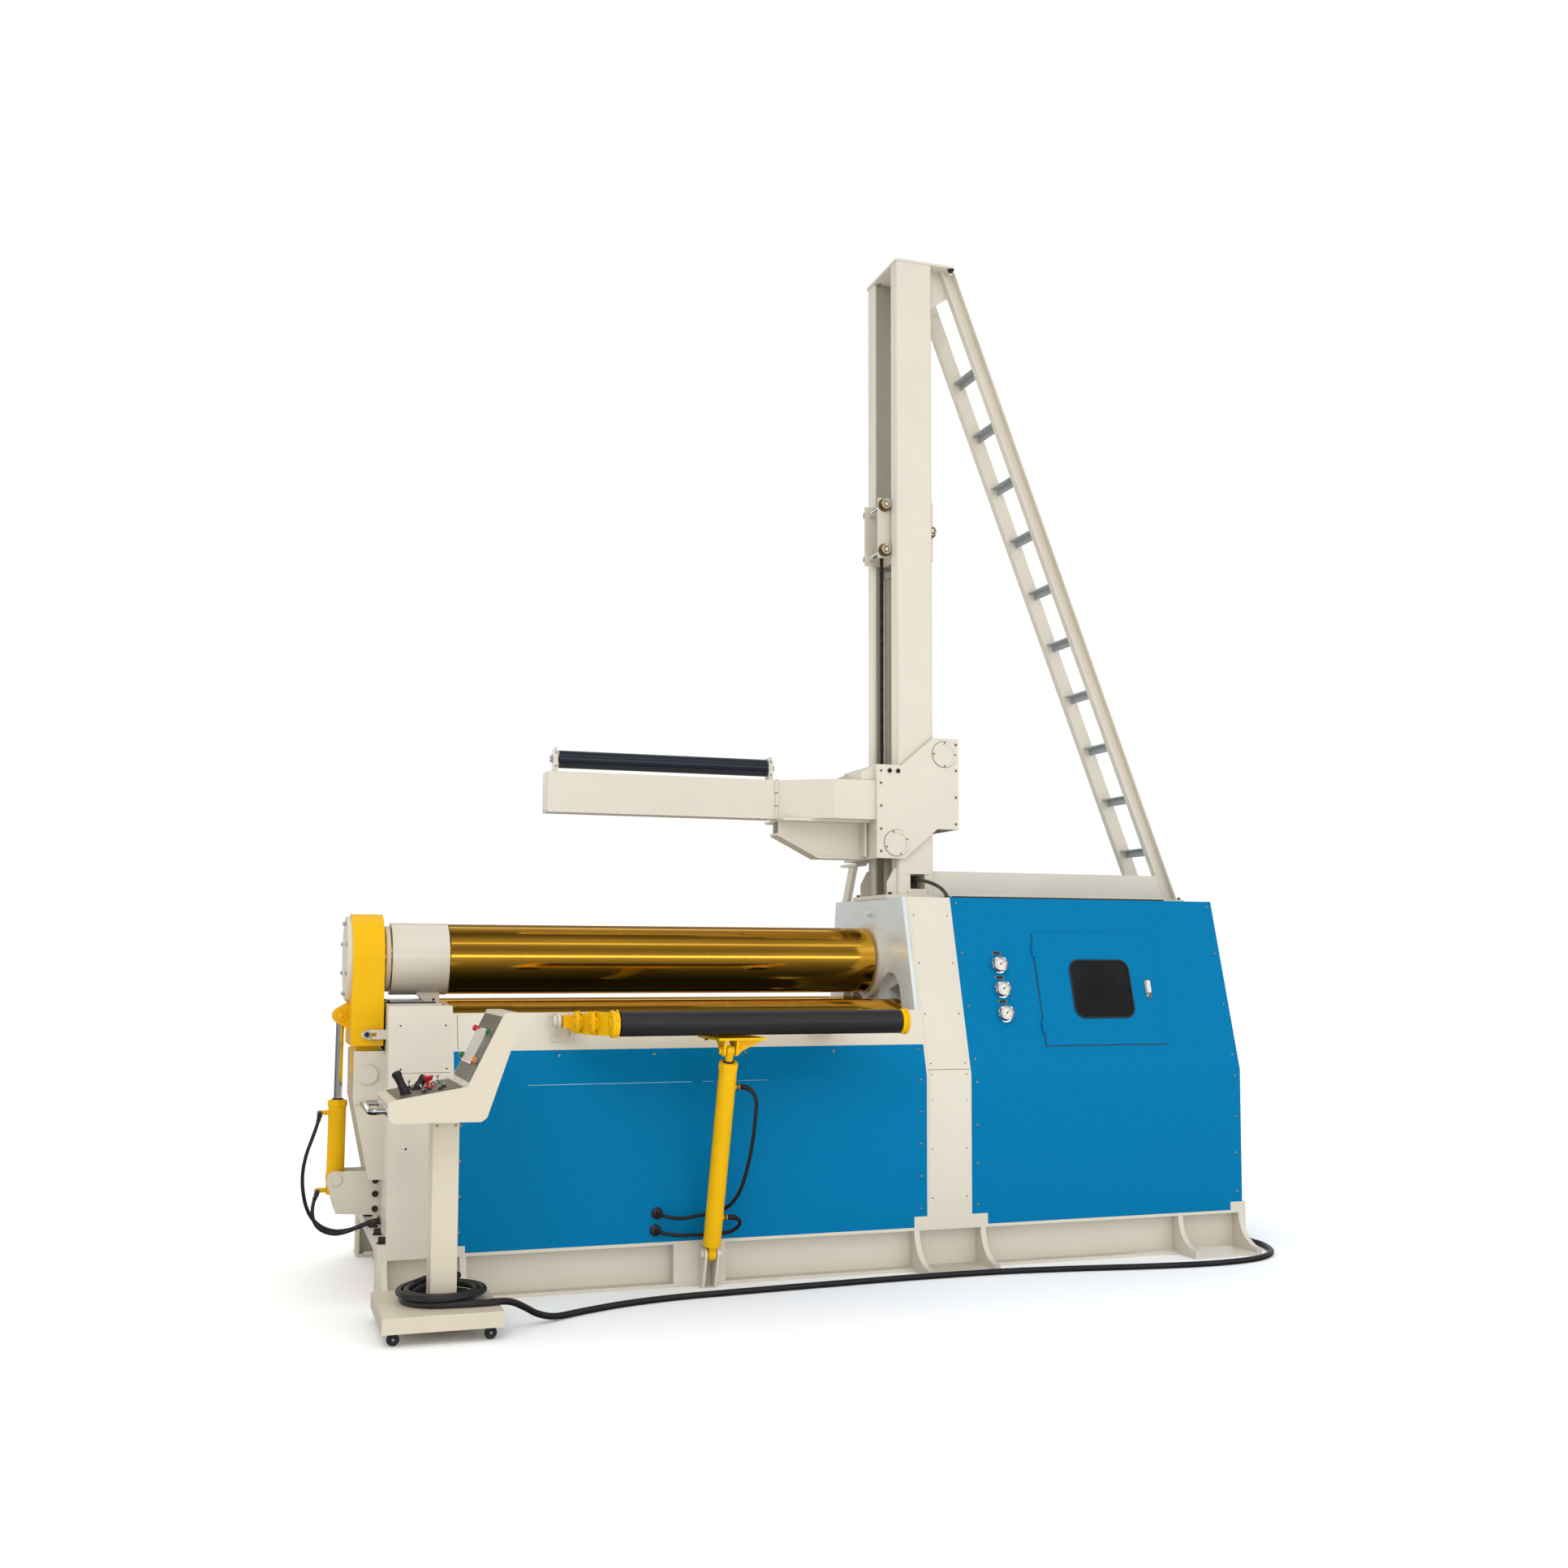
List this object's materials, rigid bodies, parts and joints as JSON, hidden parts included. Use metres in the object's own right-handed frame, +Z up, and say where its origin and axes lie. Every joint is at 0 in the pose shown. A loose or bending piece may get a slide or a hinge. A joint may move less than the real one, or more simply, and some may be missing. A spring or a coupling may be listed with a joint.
{
  "type": "plate rolling machine",
  "caption": "Hydraulic plate rolling machine with four rolls, a tilting drop end, a lateral support, a column with a swinging overhead support, and a wheeled console.",
  "frame": {"origin": "on the floor under the middle of the top roll, on the underside of a base cross beam", "axes": "+X along the rolls towards the drive cabinet, +Y away from the operator's side, +Z up"},
  "size_m": [4.6511, 2.175, 5.0223],
  "materials": {
    "beige_paint": "satin",
    "blue_paint": "satin",
    "yellow_paint": "gloss",
    "roll_steel": "polished",
    "bare_steel": "machined",
    "black_rubber": "matt",
    "black_plastic": "matt",
    "dark_glass": "clear"
  },
  "bodies": {
    "frame": {"base_beams": "beige_paint", "base_cross_beams": "beige_paint", "base_feet": "beige_paint", "stand_pads": "beige_paint", "left_stand": "beige_paint", "right_stand": "beige_paint", "stand_covers": "beige_paint", "front_panel": "blue_paint", "rear_panel": "blue_paint", "top_beams": "beige_paint", "cabinet_shell": "blue_paint", "pressure_gauges": "bare_steel", "top_roll_sleeve": "beige_paint", "top_roll_ring": "beige_paint", "drop_end_cheeks": "beige_paint", "drop_end_bracket": "beige_paint", "side_support_brackets": "beige_paint", "column_posts": "beige_paint", "column_cap": "beige_paint", "column_foot": "beige_paint", "ladder_brace": "beige_paint", "hood_beam": "beige_paint", "hoist_cylinder": "bare_steel", "console_base": "beige_paint", "console_head": "beige_paint", "console_controls": "black_plastic", "console_casters": "black_plastic", "column_cable": "black_rubber", "drop_end_hose": "black_rubber", "side_hose": "black_rubber", "side_low_hose": "black_rubber", "floor_cable": "black_rubber", "cable_coil": "black_rubber", "cable_gland": "black_rubber"},
    "cabinet_door": {"cabinet_door": "blue_paint", "door_window": "dark_glass"},
    "top_roll": {"top_roll": "roll_steel"},
    "bottom_lift": {"bottom_bearings": "bare_steel"},
    "bottom_roll": {"bottom_roll": "roll_steel"},
    "front_lift": {"front_side_bearings": "bare_steel"},
    "front_side_roll": {"front_side_roll": "roll_steel"},
    "rear_lift": {"rear_side_bearings": "bare_steel"},
    "rear_side_roll": {"rear_side_roll": "roll_steel"},
    "drop_end": {"drop_end_housing": "yellow_paint", "drop_end_cover": "beige_paint"},
    "drop_barrel": {"drop_end_barrel": "yellow_paint"},
    "drop_rod": {"drop_end_rod": "bare_steel"},
    "side_arm": {"side_support_arm": "yellow_paint"},
    "side_roller": {"side_support_roller": "black_rubber"},
    "side_middle": {"side_middle_roller": "black_rubber"},
    "side_inner": {"side_inner_roller": "black_rubber"},
    "side_barrel": {"side_support_barrel": "yellow_paint"},
    "side_rod": {"side_support_rod": "bare_steel"},
    "carriage": {"carriage": "beige_paint", "arm_inner_beam": "beige_paint"},
    "swing_arm": {"arm_swing_beam": "beige_paint"},
    "overhead_roller": {"overhead_roller": "black_rubber"},
    "crosshead": {"hoist_crosshead": "beige_paint", "hoist_rod": "bare_steel", "hoist_chains": "bare_steel"}
  },
  "joints": [
    {"name": "top_roll_spin", "type": "hinge", "parent": "frame", "child": "top_roll", "pos_m": [0, 0, 1.433], "axis": [1, 0, 0], "continuous": true},
    {"name": "bottom_lift_slide", "type": "slide", "parent": "frame", "child": "bottom_lift", "axis": [0, 0, 1], "range_m": [0, 0.033]},
    {"name": "bottom_roll_spin", "type": "hinge", "parent": "bottom_lift", "child": "bottom_roll", "pos_m": [0, 0, 1.1], "axis": [1, 0, 0], "continuous": true},
    {"name": "front_lift_slide", "type": "slide", "parent": "frame", "child": "front_lift", "axis": [0, 0.2588, 0.9659], "range_m": [0, 0.12]},
    {"name": "front_roll_spin", "type": "hinge", "parent": "front_lift", "child": "front_side_roll", "pos_m": [0, -0.28, 1.126], "axis": [1, 0, 0], "continuous": true},
    {"name": "rear_lift_slide", "type": "slide", "parent": "frame", "child": "rear_lift", "axis": [0, -0.2588, 0.9659], "range_m": [0, 0.12]},
    {"name": "rear_roll_spin", "type": "hinge", "parent": "rear_lift", "child": "rear_side_roll", "pos_m": [0, 0.28, 1.126], "axis": [1, 0, 0], "continuous": true},
    {"name": "drop_end_tilt", "type": "hinge", "parent": "frame", "child": "drop_end", "pos_m": [-1.392, 0, 0.921], "axis": [0, -1, 0], "range_deg": [0, 75]},
    {"name": "drop_barrel_swing", "type": "hinge", "parent": "frame", "child": "drop_barrel", "pos_m": [-1.512, 0, 0.45], "axis": [0, -1, 0], "range_deg": [0, 20.6]},
    {"name": "drop_rod_slide", "type": "slide", "parent": "drop_barrel", "child": "drop_rod", "axis": [0.011, 0, 0.9999], "range_m": [-0.272, 0]},
    {"name": "side_arm_lift", "type": "hinge", "parent": "frame", "child": "side_arm", "pos_m": [0, -0.668, 1.166], "axis": [-1, 0, 0], "range_deg": [0, 40]},
    {"name": "side_roller_spin", "type": "hinge", "parent": "side_arm", "child": "side_roller", "pos_m": [0, -1, 1.166], "axis": [1, 0, 0], "continuous": true},
    {"name": "side_middle_spin", "type": "hinge", "parent": "side_arm", "child": "side_middle", "pos_m": [0, -0.885, 1.166], "axis": [1, 0, 0], "continuous": true},
    {"name": "side_inner_spin", "type": "hinge", "parent": "side_arm", "child": "side_inner", "pos_m": [0, -0.778, 1.166], "axis": [1, 0, 0], "continuous": true},
    {"name": "side_barrel_swing", "type": "hinge", "parent": "frame", "child": "side_barrel", "pos_m": [0.04, -0.72, 0.15], "axis": [-1, 0, 0], "range_deg": [0, 3.2]},
    {"name": "side_rod_slide", "type": "slide", "parent": "side_barrel", "child": "side_rod", "axis": [0, -0.283, 0.9591], "range_m": [0, 0.226]},
    {"name": "carriage_slide", "type": "slide", "parent": "frame", "child": "carriage", "axis": [0, 0, 1], "range_m": [0, 1.8]},
    {"name": "swing_arm_hinge", "type": "hinge", "parent": "carriage", "child": "swing_arm", "pos_m": [0.559, -0.062, 2.227], "axis": [0, 0, 1], "range_deg": [0, 90]},
    {"name": "overhead_roller_spin", "type": "hinge", "parent": "swing_arm", "child": "overhead_roller", "pos_m": [0, 0, 2.388], "axis": [1, 0, 0], "continuous": true},
    {"name": "crosshead_slide", "type": "slide", "parent": "frame", "child": "crosshead", "axis": [0, 0, 1], "range_m": [0, 0.9]},
    {"name": "cabinet_door_hinge", "type": "hinge", "parent": "frame", "child": "cabinet_door", "pos_m": [1.751, -0.60972, 1.02568], "axis": [0, -0.2674, -0.9636], "range_deg": [0, 95]}
  ],
  "couplings": [
    {"joint": "drop_barrel_swing", "follows": "drop_end_tilt", "ratio": 0.273},
    {"joint": "drop_rod_slide", "follows": "drop_end_tilt", "m_per_rad": -0.2065},
    {"joint": "side_barrel_swing", "follows": "side_arm_lift", "ratio": 0.0789},
    {"joint": "side_rod_slide", "follows": "side_arm_lift", "m_per_rad": 0.3204},
    {"joint": "crosshead_slide", "follows": "carriage_slide", "ratio": 0.5}
  ]
}
